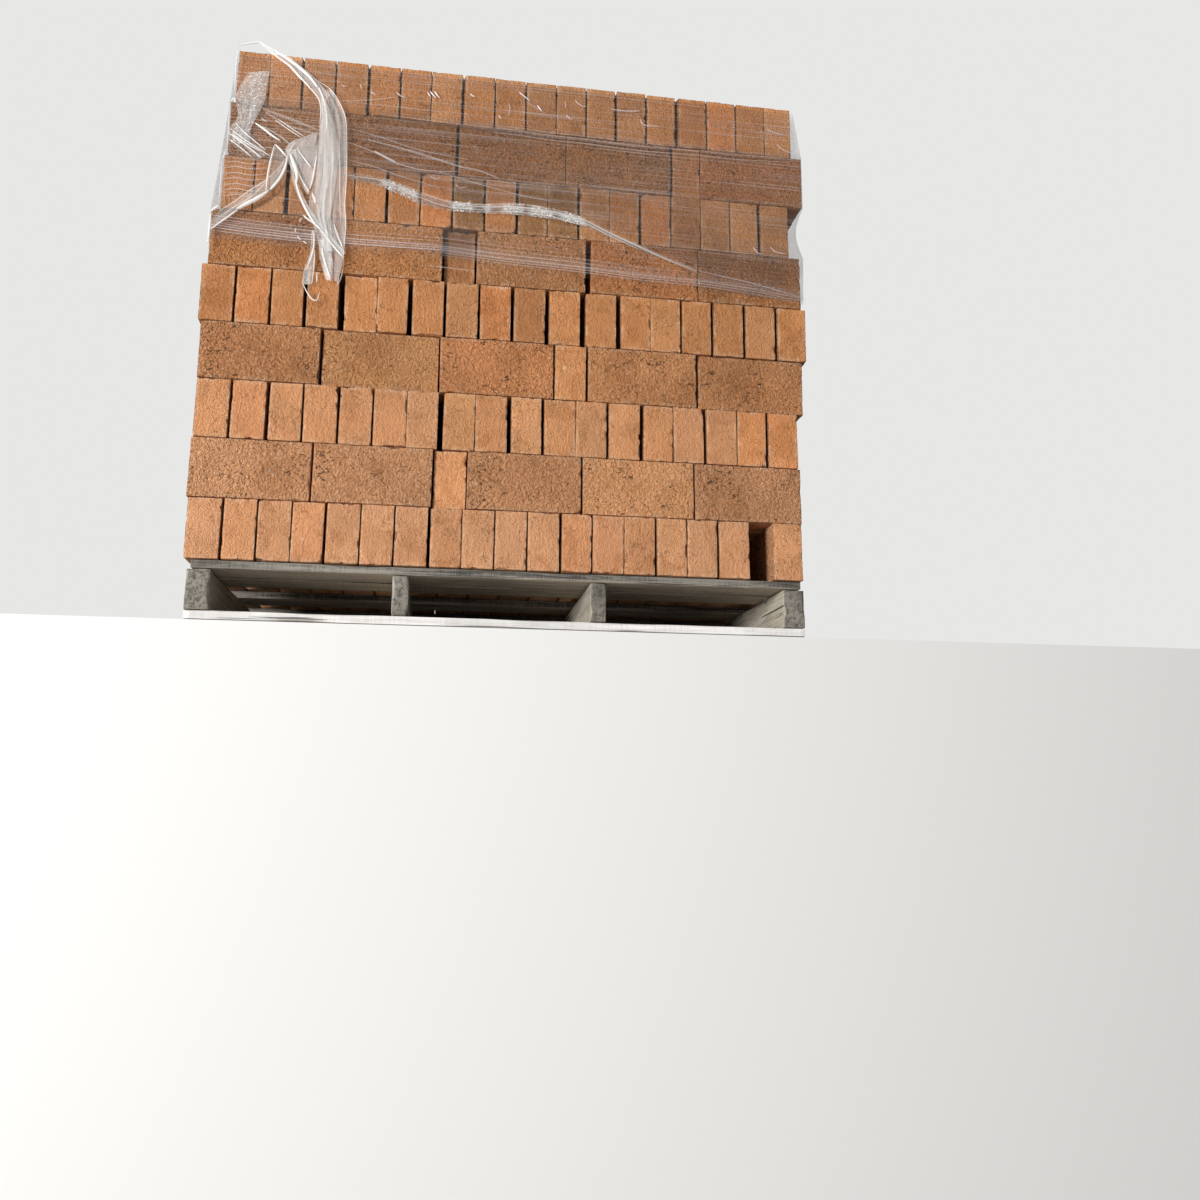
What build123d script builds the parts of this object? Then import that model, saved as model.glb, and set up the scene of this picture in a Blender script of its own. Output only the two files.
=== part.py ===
"""A pallet of bricks: nine courses of clay bricks on edge, laid in bond on a timber
stringer pallet, with stretch film round the upper courses and its torn end hanging
down the front.

Millimetres. +X to the right along the front face, +Y to the back, +Z up. The origin is
the middle of the pallet's underside, on the middle bottom board.
"""
from build123d import *
import os

# Bricks, all laid on edge
brick_length = 230
brick_width = 120
brick_thickness = 64
brick_count_deep = 4
stretcher_count = 5
end_joint = 5
least_joint = 0.8

# Pallet
pallet_width = 1219
deck_thickness = 17
deck_board_width = 92
deck_inset = 7
deck_pair_joint = 2
middle_board_count = 2
bottom_thickness = 18
bottom_board_width = 92
stringer_height = 80
outer_stringer_thickness = 46
inner_stringer_thickness = 33
inner_stringer_places = (-210, 179)
brick_overhang = 10.5
eased_edge = 1.5

# Stretch film
film_thickness = 1
film_clearance = 0.3
film_top_below_stack = 12
wrapped_course_count = 4
film_low_left_above_foot = 64
film_low_right_above_foot = 2
fold_thickness = 5
tail_thickness = 22

# Joints that are wider than a course's others, and how far a row was pushed back
close_joint = 2.5
wide_joint = 6.5
gaping_joint = 17
slipped_joint = 52
pushed_a_little = 4
pushed = 7
pushed_far = 12

# How unevenly the bricks behind the front ones are laid: how far each stands to the right
# of its row or, below 0, to the left, by turns from the front, as a share of the joint on
# that side, and how far a row is slid to the back, by turns from the left, as a share of
# the joints in it
side_slips = (0, 0.45, -0.45, 0.25)
row_slides = (0.9, -0.9, 0.3, -0.5)

# From the ground up, how much longer each course is than five bricks and a thickness
# laid close, and how far it stands to the right of the pallet's middle
course_slacks = (-6.5, 0, -9.5, 8.5, 23.5, 8.5, -32, -7.5, -32)
course_shifts = (-5, -4.5, -6.5, 0.5, 3, 5.5, -2, 19.5, 14)

# Each course from the ground up. In the bond H is a row of bricks that shows its ends
# and S one that shows its length; a course of H alone has as many rows as it holds.
# The wide joints and the rows that are pushed back are counted from the left.
courses = [
    dict(bond="H", wide={17: slipped_joint}, back={}),
    dict(bond="SSHSSS", wide={}, back={3: pushed}),
    dict(bond="H", wide={11: wide_joint}, back={}),
    dict(bond="SSSHSS", wide={5: wide_joint}, back={2: pushed, 6: pushed_a_little}),
    dict(bond="H", wide={1: wide_joint, 6: wide_joint, 9: wide_joint, 11: gaping_joint, 16: wide_joint},
         back={5: pushed}),
    dict(bond="SSHSSS", wide={4: wide_joint, 5: wide_joint}, back={3: pushed_far}),
    dict(bond="H", wide={}, back={}),
    dict(bond="SSSSHS", wide={}, back={5: pushed_a_little}),
    dict(bond="H", wide={}, back={}),
]

# Sizes that follow from the ones above
stack_width = stretcher_count * (brick_length + close_joint) + brick_thickness
stack_depth = brick_count_deep * brick_length + (brick_count_deep - 1) * end_joint
pallet_depth = stack_depth - 2 * brick_overhang
deck_underside = bottom_thickness + stringer_height
deck_top = deck_underside + deck_thickness
stack_top = deck_top + len(courses) * brick_width
film_front = -(stack_depth / 2 + film_clearance + film_thickness)

os.makedirs("parts", exist_ok=True)


def save(piece, label):
    """Labels a finished piece and writes it to its own file."""
    piece.part.label = label
    export_step(piece.part, f"parts/{label}.step")


def board(label, level, thickness, length, width, place):
    """One board across the pallet, its long edges eased by wear."""
    with BuildPart() as piece:
        with BuildSketch(Plane.XY.offset(level)):
            with Locations((0, place)):
                Rectangle(length, width)
        extrude(amount=thickness)
        chamfer(piece.edges().filter_by(Axis.X), eased_edge)
    save(piece, label)


def stringer(label, thickness, place):
    """One stringer from the pallet's front to its back."""
    with BuildPart() as piece:
        with BuildSketch(Plane.XY.offset(bottom_thickness)):
            with Locations((place, 0)):
                Rectangle(thickness, pallet_depth)
        extrude(amount=stringer_height)
        chamfer(piece.edges().filter_by(Axis.Z), eased_edge)
    save(piece, label)


def course_run(course, slack):
    """A course's bond written out, the widths of its rows and the joints between them,
    from left to right."""
    width = stack_width + slack
    bond = course["bond"]
    if bond == "H":
        wide = course["wide"].values()
        room = width - sum(wide) + (len(wide) + 1) * least_joint
        bond *= int(room // (brick_thickness + least_joint))
    widths = [brick_thickness if row == "H" else brick_length for row in bond]
    wide = {number: joint for number, joint in course["wide"].items() if number < len(bond)}
    joint = (width - sum(widths) - sum(wide.values())) / (len(bond) - 1 - len(wide))
    return bond, widths, [wide.get(number, joint) for number in range(1, len(bond))]


def course_ends(slack, shift):
    """The left and right end of a course."""
    half_width = (stack_width + slack) / 2
    return shift - half_width, shift + half_width


def lay_course(label, level, course, slack, shift):
    """One course of bricks. Each row runs from the front face to the back one. In a course
    that shows its ends alone, only the front bricks stand apart at the wide joints."""
    bond, widths, joints = course_run(course, slack)
    left = course_ends(slack, shift)[0]
    inner_joints = [sum(joints) / len(joints)] * len(joints) if course["bond"] == "H" else joints
    room = stack_depth - max(course["back"].values(), default=0)
    header_places, stretcher_places = [], []
    for row, (kind, width) in enumerate(zip(bond, widths)):
        middle = left + sum(widths[:row]) + width / 2
        left_joint, right_joint = [0, *inner_joints, 0][row:row + 2]
        along = brick_length if kind == "H" else brick_thickness
        front = course["back"].get(row + 1, 0) - stack_depth / 2
        bricks = int((room + least_joint) // (along + least_joint))
        pitch = (room - along) / (bricks - 1)
        slide = row_slides[row % len(row_slides)] * (pitch - along)
        places = header_places if kind == "H" else stretcher_places
        places.append((middle + sum(joints[:row]), front + along / 2))
        for number in range(1, bricks):
            slip = side_slips[number % len(side_slips)]
            aside = slip * (right_joint if slip > 0 else left_joint)
            back = stack_depth / 2 - (bricks - 1 - number) * pitch
            if number < bricks - 1:
                back += slide
            places.append((middle + sum(inner_joints[:row]) + aside, back - along / 2))
    with BuildPart() as piece:
        with BuildSketch(Plane.XY.offset(level)):
            with Locations(*header_places):
                Rectangle(brick_thickness, brick_length)
            if stretcher_places:
                with Locations(*stretcher_places):
                    Rectangle(brick_length, brick_thickness)
        extrude(amount=brick_width)
    save(piece, label)


# Bottom boards, flush with the outer stringers
bottom_place = (pallet_depth - bottom_board_width) / 2
for name, place in (("front", -bottom_place), ("middle", 0), ("back", bottom_place)):
    board(f"bottom_board_{name}", 0, bottom_thickness, pallet_width, bottom_board_width, place)

# Stringers
outer_stringer_place = (pallet_width - outer_stringer_thickness) / 2
stringer("stringer_left", outer_stringer_thickness, -outer_stringer_place)
stringer("stringer_inner_left", inner_stringer_thickness, inner_stringer_places[0])
stringer("stringer_inner_right", inner_stringer_thickness, inner_stringer_places[1])
stringer("stringer_right", outer_stringer_thickness, outer_stringer_place)

# Deck boards: a close pair at the front, single boards between, a close pair at the back
deck_length = pallet_width - 2 * deck_inset
outermost_deck_place = (pallet_depth - deck_board_width) / 2
paired_deck_place = outermost_deck_place - deck_board_width - deck_pair_joint
open_deck_pitch = 2 * paired_deck_place / (middle_board_count + 1)
deck_places = [-outermost_deck_place]
deck_places += [-paired_deck_place + n * open_deck_pitch for n in range(middle_board_count + 2)]
deck_places += [outermost_deck_place]
for number, place in enumerate(deck_places, start=1):
    board(f"deck_board_{number}", deck_underside, deck_thickness, deck_length, deck_board_width, place)

# Bricks
course_feet = [deck_top + number * brick_width for number in range(len(courses))]
laid_courses = list(zip(course_feet, courses, course_slacks, course_shifts))
for number, (foot, course, slack, shift) in enumerate(laid_courses, start=1):
    lay_course(f"course_{number}", foot, course, slack, shift)

# Stretch film: a taut skin round the upper courses, so its outline is their hull. Its
# upper edge is level and its lower edge runs down to the right.
film_top = stack_top - film_top_below_stack
wrapped_foot = course_feet[-wrapped_course_count]
film_low_left = wrapped_foot + film_low_left_above_foot
film_low_right = wrapped_foot + film_low_right_above_foot
with BuildSketch(Plane.XZ) as wrapped_bricks:
    with BuildLine():
        for foot, course, slack, shift in laid_courses[-wrapped_course_count:]:
            left, right = course_ends(slack, shift)
            head = foot + brick_width
            Polyline((left, foot), (right, foot), (right, head), (left, head), close=True)
    make_hull()
hull = wrapped_bricks.sketch
film_left = hull.bounding_box().min.X
reach = pallet_width
with BuildPart() as film_wrap:
    with BuildSketch(Plane.XZ):
        add(offset(hull, film_clearance + film_thickness, kind=Kind.INTERSECTION, mode=Mode.PRIVATE))
    extrude(amount=-film_front, both=True)
    with BuildSketch(Plane.XZ):
        add(offset(hull, film_clearance, kind=Kind.INTERSECTION, mode=Mode.PRIVATE))
    extrude(amount=-film_front - film_thickness, both=True, mode=Mode.SUBTRACT)
    with BuildSketch(Plane.XZ):
        with BuildLine():
            Polyline((-reach, film_top), (reach, film_top), (reach, stack_top + reach),
                     (-reach, stack_top + reach), close=True)
        make_face()
        with BuildLine():
            Polyline((-reach, wrapped_foot - reach), (reach, wrapped_foot - reach),
                     (reach, film_low_right), (-reach, film_low_left), close=True)
        make_face()
    extrude(amount=stack_depth, both=True, mode=Mode.SUBTRACT)
save(film_wrap, "film_wrap")


def hanging_film(label, outline, thickness):
    """Bunched film lying on the front of the wrap. Each point of its outline is a place
    to the right of the wrap's left edge and a depth below the stack's top."""
    with BuildPart() as piece:
        with BuildSketch(Plane.XZ.offset(-film_front + film_clearance)):
            with BuildLine():
                Polyline(*[(film_left + x, stack_top - below) for x, below in outline], close=True)
            make_face()
        extrude(amount=thickness)
    save(piece, label)


# The film's torn end: it leaves the left top corner, gathers and hangs down the front,
# and a strand of it is still caught at the left edge
tail_outline = [
    (31, -2), (67, -12), (107, 4), (177, 42), (220, 96), (254, 130), (262, 215), (266, 435),
    (254, 484), (215, 546), (192, 510), (188, 420), (182, 344), (155, 290), (110, 336),
    (8, 416), (4, 384), (94, 328), (136, 262), (150, 205), (195, 156), (189, 116),
    (158, 74), (120, 40), (37, 26),
]
hanging_film("film_tail", tail_outline, tail_thickness)

# A fold in the film, rolled together across the front
fold_outline = [
    (274, 264), (329, 269), (370, 291), (473, 308), (745, 312), (792, 327), (982, 407),
    (982, 421), (788, 342), (745, 328), (473, 323), (367, 306), (330, 286), (274, 281),
]
hanging_film("film_fold", fold_outline, fold_thickness)
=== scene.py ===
"""Looks of the pallet of bricks: its fired clay, its weathered timber and its stretch film.

Metres. +X runs to the right along the front face, +Y to the back and +Z up.
"""
import math
import random

import bmesh
import bpy
from mathutils import Matrix, Vector, noise


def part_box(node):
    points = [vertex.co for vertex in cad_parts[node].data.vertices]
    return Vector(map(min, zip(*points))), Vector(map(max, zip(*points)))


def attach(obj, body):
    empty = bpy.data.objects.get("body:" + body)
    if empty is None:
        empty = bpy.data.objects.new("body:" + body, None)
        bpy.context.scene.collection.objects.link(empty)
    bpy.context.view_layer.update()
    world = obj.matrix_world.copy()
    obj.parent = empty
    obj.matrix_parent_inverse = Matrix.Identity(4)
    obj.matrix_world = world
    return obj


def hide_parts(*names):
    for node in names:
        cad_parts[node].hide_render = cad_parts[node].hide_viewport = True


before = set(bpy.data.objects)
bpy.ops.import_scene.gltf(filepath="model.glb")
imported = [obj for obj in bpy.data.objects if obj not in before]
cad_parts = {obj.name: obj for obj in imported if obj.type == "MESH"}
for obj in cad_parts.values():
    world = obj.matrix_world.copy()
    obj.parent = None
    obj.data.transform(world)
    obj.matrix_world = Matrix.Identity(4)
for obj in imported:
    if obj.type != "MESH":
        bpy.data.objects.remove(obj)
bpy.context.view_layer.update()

# The camera. Pixels are those of its picture, 1200 by 1200, from the top left corner.
picture_size = 1200
sensor_width = 36
camera_lens = 31.89
camera_place = Vector((-0.144, -2.516, -0.330))
camera_yaw = math.radians(9.01)
camera_pitch = math.radians(10.66)
camera_roll = math.radians(0.27)

# Bricks. A fineness is how many waves of its noise go into a metre.
deepest_push = 0.03
level_tolerance = 0.01
arris_radius = 0.0012
face_unevenness = 0.0007
unevenness_fineness = 26
arris_wear = 0.0030
arris_wear_reach = 0.009
wear_fineness = 55
fray_fineness = 150
fray_share = 0.7
least_fray = 0.12
front_cell = 0.0048
header_cells_deep = 8
stretcher_cells_deep = 5
front_crowding = 2
outer_cell = 0.021
front_slip = 0.0014
height_spread = 0.0012
most_lean = 0.010
narrowings = (0.0002, 0.0002, 0.0004, 0.0016, 0.0030)
widest_slip = 0.006
waist = 0.0004
waist_fineness_up = 11
waist_fineness_back = 9
inner_growth = 0.0004
grown_share = 0.3
most_grown = 0.001
chips_at_most = 4
chip_radii = (0.004, 0.011)
chip_depth = 0.42
chip_fineness = 160
chip_raggedness = 0.4
paling_by_wear = 120
touching_from = 0.006
touching_to = 0.016
touching_share = 0.48
# The lower courses are blended towards a paler clay: partly dust, and partly painted light that makes the
# foot of the load brighter than its top.
dust_and_light_foot = 0.05
dust_and_light_top = 0.75
most_dust_and_light = 0.55

# Film
film_row = 0.006
film_corner = 0.005
film_lift = 0.0006
crease_cell = 0.004
pixel_reach = 0.00205
wrap_crease_proud = 0.0015
torn_crease_proud = 0.009
fold_crease_proud = 0.0052
torn_sheet_size = (0.06, 0.30)
fold_size = (0.035, 0.75)
fold_cells = (8, 260)
corner_share = 0.012

# Stage
stage_reach = 9
stage_drop = 1.2
stage_thickness = 0.1
plinth_setback = 0.004
stage_colour = (0.78, 0.77, 0.75, 1)
thrown_back_share = 0.42

# Light
softbox_place = Vector((-6.45, -6.1, 0.8))
softbox_aim = Vector((0, -0.4, 0.5))
softbox_side = 2.0
softbox_power = 960
ambient_strength = 0.29
surroundings = (0.80, 0.80, 0.79, 1)


# The camera and the places it shows

def camera_axes():
    """The camera's right, up and backward directions."""
    forward = Vector((math.sin(camera_yaw) * math.cos(camera_pitch),
                      math.cos(camera_yaw) * math.cos(camera_pitch),
                      math.sin(camera_pitch)))
    level_right = Vector((math.cos(camera_yaw), -math.sin(camera_yaw), 0))
    level_up = level_right.cross(forward)
    right = level_right * math.cos(camera_roll) + level_up * math.sin(camera_roll)
    up = level_up * math.cos(camera_roll) - level_right * math.sin(camera_roll)
    return right, up, -forward


stack_low, stack_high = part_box("course_9")
wrap_low, wrap_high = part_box("film_wrap")
front_face = stack_low.y
film_front = wrap_low.y


def seen_at(pixel, depth):
    """The place that a pixel shows in the upright plane at y = depth."""
    right, up, backward = camera_axes()
    focus = camera_lens / sensor_width * picture_size
    across = (pixel[0] - picture_size / 2) / focus
    down = (pixel[1] - picture_size / 2) / focus
    ray = right * across - up * down - backward
    return camera_place + ray * (depth - camera_place.y) / ray.y


def on_front(pixel, proud=0.0):
    """The place on the load's front that a pixel shows, standing proud of the film."""
    return seen_at(pixel, film_front - proud)


def between(low, high, share):
    """The value that lies a share of the way from low to high."""
    return low + (high - low) * share


def eased(low, high, value):
    """0 below low, 1 above high and a smooth change between."""
    share = min(max((value - low) / (high - low), 0), 1)
    return share * share * (3 - 2 * share)


def follow(points, share):
    """The place a share of the way along a smooth line through the points."""
    place = share * (len(points) - 1)
    start = min(int(place), len(points) - 2)
    part = place - start
    before = points[max(start - 1, 0)]
    here, there = points[start], points[start + 1]
    after = points[min(start + 2, len(points) - 1)]
    return 0.5 * (2 * here + (there - before) * part
                  + (2 * before - 5 * here + 4 * there - after) * part ** 2
                  + (3 * here - before - 3 * there + after) * part ** 3)


def height_of_line(points, x):
    """How high a line from left to right runs at x."""
    for here, there in zip(points, points[1:]):
        if x <= there.x:
            share = max((x - here.x) / (there.x - here.x), 0)
            return between(here.z, there.z, share)
    return points[-1].z


# Shader building

def set_inputs(tree, node, inputs):
    """Sets a node's inputs and links those that are given a socket."""
    for name, value in inputs.items():
        if isinstance(value, bpy.types.NodeSocket):
            tree.links.new(value, node.inputs[name])
        else:
            node.inputs[name].default_value = value


def add_node(tree, kind, inputs=None, **settings):
    """Adds a node with its settings and inputs."""
    node = tree.nodes.new(kind)
    for name, value in settings.items():
        setattr(node, name, value)
    set_inputs(tree, node, inputs or {})
    return node


def math_node(tree, operation, first, second=0.0, clamp=False):
    """The result of one sum."""
    inputs = {0: first, 1: second}
    return add_node(tree, "ShaderNodeMath", inputs, operation=operation, use_clamp=clamp).outputs[0]


def plus(tree, first, *others):
    """Values added up."""
    for other in others:
        first = math_node(tree, "ADD", first, other)
    return first


def times(tree, first, *others):
    """Values multiplied."""
    for other in others:
        first = math_node(tree, "MULTIPLY", first, other)
    return first


def less(tree, first, second, clamp=False):
    """One value less another."""
    return math_node(tree, "SUBTRACT", first, second, clamp)


def rise(tree, value, low, high, bottom=0.0, top=1.0):
    """A value that goes from bottom to top as the given one goes from low to high."""
    inputs = {"Value": value, "From Min": low, "From Max": high, "To Min": bottom, "To Max": top}
    return add_node(tree, "ShaderNodeMapRange", inputs, interpolation_type="SMOOTHSTEP").outputs["Result"]


def blend(tree, share, first, second, blend_type="MIX"):
    """Two colours mixed by a share."""
    return add_node(tree, "ShaderNodeMix", {0: share, 6: first, 7: second}, data_type="RGBA",
                    blend_type=blend_type).outputs[2]


def scaled(colour, share):
    """A share of a colour."""
    return tuple(share * channel for channel in colour[:3]) + (1,)


def cloud(tree, vector, scale, detail=3.0, roughness=0.55, distortion=0.0, **settings):
    """Soft noise between 0 and 1."""
    inputs = {"Vector": vector, "Scale": scale, "Detail": detail, "Roughness": roughness,
              "Distortion": distortion}
    return add_node(tree, "ShaderNodeTexNoise", inputs, **settings).outputs[0]


def stretched(tree, vector, scale, turn=(0.0, 0.0, 0.0)):
    """A vector that is turned and then scaled."""
    inputs = {"Vector": vector, "Rotation": turn, "Scale": scale}
    return add_node(tree, "ShaderNodeMapping", inputs).outputs[0]


def attribute(tree, name, output="Fac"):
    """A value that a piece carries on its points."""
    return add_node(tree, "ShaderNodeAttribute", attribute_name=name).outputs[output]


def shifted_places(tree):
    """Object coordinates, moved by each piece's own shift so that no two are alike."""
    places = add_node(tree, "ShaderNodeTexCoord").outputs["Object"]
    inputs = {0: places, 1: attribute(tree, "shift", "Vector")}
    return add_node(tree, "ShaderNodeVectorMath", inputs, operation="ADD").outputs[0]


def new_group(name, inputs):
    """A shader group with values in: their names, their kinds and what they are by themselves."""
    group = bpy.data.node_groups.new(name, "ShaderNodeTree")
    for label, kind, value in inputs:
        socket = group.interface.new_socket(label, in_out="INPUT", socket_type="NodeSocket" + kind)
        if value is not None:
            socket.default_value = value
    return group, group.nodes.new("NodeGroupInput").outputs


def close_group(group, outputs):
    """Gives a shader group its values out: their names, their kinds and the values."""
    for label, kind, value in outputs:
        group.interface.new_socket(label, in_out="OUTPUT", socket_type="NodeSocket" + kind)
    outside = group.nodes.new("NodeGroupOutput")
    set_inputs(group, outside, {label: value for label, kind, value in outputs})
    return group


def new_material(name):
    """A material with a bare Principled shader."""
    material = bpy.data.materials.new(name)
    material.use_nodes = True
    tree = material.node_tree
    return material, tree, tree.nodes["Principled BSDF"]


def bump(tree, height, strength, distance):
    """A bumped normal."""
    inputs = {"Height": height, "Strength": strength, "Distance": distance}
    return add_node(tree, "ShaderNodeBump", inputs).outputs["Normal"]


# Fired clay

def make_clay():
    """Handmade brick: mottled, gritty, with pitted sandy beds, smooth ends and pale arrises, with painted
    shade in its low spots, pits and creases, and sand colour with painted highlight on its raised grain.
    """
    material, tree, shader = new_material("fired_clay")
    places = shifted_places(tree)
    bed = attribute(tree, "bed")
    arris = attribute(tree, "arris")
    tint = attribute(tree, "clay", "Color")

    def by_bed(on_ends, on_beds):
        """A value that a brick's ends have and another that its beds have."""
        return rise(tree, bed, 0.0, 1.0, on_ends, on_beds)

    def toned(colour, *tone):
        """A colour with its channels brought down."""
        return blend(tree, 1.0, colour, (*tone, 1), "MULTIPLY")

    coarse = cloud(tree, places, 120.0, 5.0, 0.72, 0.35)
    grain = cloud(tree, places, 270.0, 3.0, 0.7, 0.1)
    gritty = cloud(tree, stretched(tree, places, (0.8, 0.8, 1.0)), 165.0, 3.0, 0.6, 0.7)
    drag = cloud(tree, stretched(tree, places, (150.0, 150.0, 26.0)), 1.0, 3.0, 0.65, 0.4)
    sandiness = rise(tree, cloud(tree, places, 10.0, 2.0), 0.35, 0.65, 0.75, 1.1)
    pits = cloud(tree, stretched(tree, places, (1.0, 1.0, 1.5)), 125.0, 2.0, 0.5, 1.0)
    pit_areas = rise(tree, cloud(tree, places, 19.0, 3.0, 0.6), 0.48, 0.60)
    pit_areas = math_node(tree, "MAXIMUM", pit_areas, times(tree, arris, 0.35))
    bed_pits = times(tree, rise(tree, pits, 0.60, 0.65), pit_areas, by_bed(0.35, 1.0))
    ridges = cloud(tree, places, 48.0, 4.0, 0.65, noise_type="RIDGED_MULTIFRACTAL")
    creases = times(tree, rise(tree, ridges, 1.05, 1.45), rise(tree, cloud(tree, places, 17.0), 0.49, 0.60))

    # How far the clay stands out from its even face
    height = plus(tree, times(tree, coarse, 0.7), times(tree, grain, 0.6),
                  times(tree, drag, by_bed(0.25, 0.05)), times(tree, gritty, by_bed(0.05, 0.45)))
    offset = times(tree, less(tree, height, by_bed(0.80, 0.90)), times(tree, by_bed(0.60, 1.0), sandiness))

    mottling = rise(tree, cloud(tree, places, 12.0, 4.0, 0.6, 0.6), 0.30, 0.70)
    colour = blend(tree, mottling, tint, toned(tint, 0.86, 0.83, 0.80))
    stains = rise(tree, cloud(tree, places, 13.0, 3.0, 0.6, 0.8), 0.55, 0.60)
    colour = blend(tree, stains, colour, toned(colour, 0.88, 0.85, 0.80))
    lime = times(tree, rise(tree, cloud(tree, places, 26.0, 3.0, 0.65), 0.69, 0.74), 0.5)
    colour = blend(tree, lime, colour, (0.86, 0.66, 0.47, 1))
    # Sand colour and painted highlight pale the raised grain.
    sand_and_highlight = blend(tree, 0.32, colour, (0.98, 0.66, 0.43, 1))
    # Painted shade darkens the low spots of the relief.
    colour = blend(tree, rise(tree, offset, -0.05, -0.24), colour, toned(colour, 0.58, 0.50, 0.43))
    colour = blend(tree, rise(tree, offset, 0.02, 0.17), colour, sand_and_highlight)
    # Painted shade: the pits and creases are filled near black.
    colour = blend(tree, times(tree, bed_pits, 0.8), colour, (0.05, 0.022, 0.012, 1))
    colour = blend(tree, times(tree, creases, 0.7), colour, (0.08, 0.036, 0.02, 1))
    worn = times(tree, arris, rise(tree, cloud(tree, places, 40.0), 0.40, 0.62, 0.0, 0.7))
    colour = blend(tree, worn, colour, (0.82, 0.50, 0.30, 1))

    relief = plus(tree, times(tree, offset, 4.2), times(tree, gritty, by_bed(0.2, 3.4)))
    relief = less(tree, less(tree, relief, times(tree, bed_pits, 1.4)), times(tree, creases, 0.9))
    set_inputs(tree, shader, {"Base Color": colour, "Roughness": rise(tree, grain, 0.3, 0.7, 0.97, 0.84),
                              "Specular IOR Level": 0.25, "Normal": bump(tree, relief, 1.0, 0.0034)})
    return material


# Timber

def make_grain_group():
    """Weathered grain along X: how light the wood is, where it is cracked or stained, and its relief."""
    group, given = new_group("weathered_grain", [("Places", "Vector", None)])
    places = given["Places"]
    wide = cloud(group, stretched(group, places, (5.0, 120.0, 120.0)), 1.0, 4.0, 0.6, 0.4)
    fine = cloud(group, stretched(group, places, (22.0, 520.0, 520.0)), 1.0, 3.0, 0.65)
    speckle = cloud(group, places, 420.0, 3.0, 0.7)
    sawn = cloud(group, stretched(group, places, (340.0, 12.0, 12.0)), 1.0, 2.0, 0.6)
    stain = cloud(group, stretched(group, places, (3.0, 9.0, 9.0)), 1.0, 3.0, 0.6)
    cracks = cloud(group, stretched(group, places, (3.0, 170.0, 170.0)), 1.0, 2.0, 0.5, 0.3)
    cracks = rise(group, cracks, 0.64, 0.69)
    tone = plus(group, times(group, wide, 0.45), times(group, fine, 0.30), times(group, speckle, 0.15),
                times(group, sawn, 0.20))
    relief = less(group, times(group, tone, 1.5), cracks)
    return close_group(group, [("Tone", "Float", tone), ("Cracks", "Float", cracks),
                               ("Stain", "Float", stain), ("Relief", "Float", relief)])


grain_group = make_grain_group()
no_turn = (0.0, 0.0, 0.0)
quarter_turn = (0.0, 0.0, math.radians(90))


def make_timber(name, turn, dark, light, underside, sawn=None):
    """Old pallet wood: silvered where the weather reaches it and browner underneath. sawn is how
    dark and light its flanks are."""
    material, tree, shader = new_material(name)
    places = stretched(tree, shifted_places(tree), (1.0, 1.0, 1.0), turn)
    grain = add_node(tree, "ShaderNodeGroup", {"Places": places}, node_tree=grain_group).outputs
    normal = add_node(tree, "ShaderNodeTexCoord").outputs["Normal"]
    facing = add_node(tree, "ShaderNodeSeparateXYZ", {"Vector": normal}).outputs

    def grained(low, high, dark, light):
        """Two colours laid out by the grain."""
        return blend(tree, rise(tree, grain["Tone"], low, high), dark, light)

    below = rise(tree, facing["Z"], -0.3, -0.8, 0.0, 0.85)
    colour = blend(tree, below, grained(0.45, 0.61, dark, light),
                   grained(0.36, 0.64, scaled(underside, 0.55), underside))
    if sawn:
        flank = rise(tree, math_node(tree, "ABSOLUTE", facing["X"]), 0.3, 0.8)
        colour = blend(tree, flank, colour, grained(0.36, 0.60, *sawn))
    colour = blend(tree, rise(tree, grain["Stain"], 0.42, 0.68, 0.0, 0.40), colour, scaled(dark, 0.45))
    end_axis = "Y" if turn == quarter_turn else "X"
    end_grain = rise(tree, math_node(tree, "ABSOLUTE", facing[end_axis]), 0.5, 0.9)
    cracks = times(tree, grain["Cracks"], rise(tree, end_grain, 0.0, 1.0, 0.85, 0.15))
    colour = blend(tree, cracks, colour, (0.02, 0.017, 0.015, 1))
    colour = blend(tree, times(tree, attribute(tree, "arris"), 0.28), colour, light)
    set_inputs(tree, shader, {"Base Color": colour, "Roughness": 0.88, "Specular IOR Level": 0.2,
                              "Normal": bump(tree, grain["Relief"], 0.8, 0.0012)})
    return material


def make_nail_steel():
    """Dull galvanised nails with some rust."""
    material, tree, shader = new_material("nail_steel")
    places = add_node(tree, "ShaderNodeTexCoord").outputs["Object"]
    rust = rise(tree, cloud(tree, places, 240.0, 3.0, 0.6), 0.45, 0.62)
    set_inputs(tree, shader, {"Base Color": blend(tree, rust, (0.50, 0.50, 0.51, 1), (0.16, 0.085, 0.05, 1)),
                              "Metallic": rise(tree, rust, 0.0, 1.0, 0.9, 0.1),
                              "Roughness": rise(tree, rust, 0.0, 1.0, 0.35, 0.8)})
    return material


# Stretch film

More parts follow.
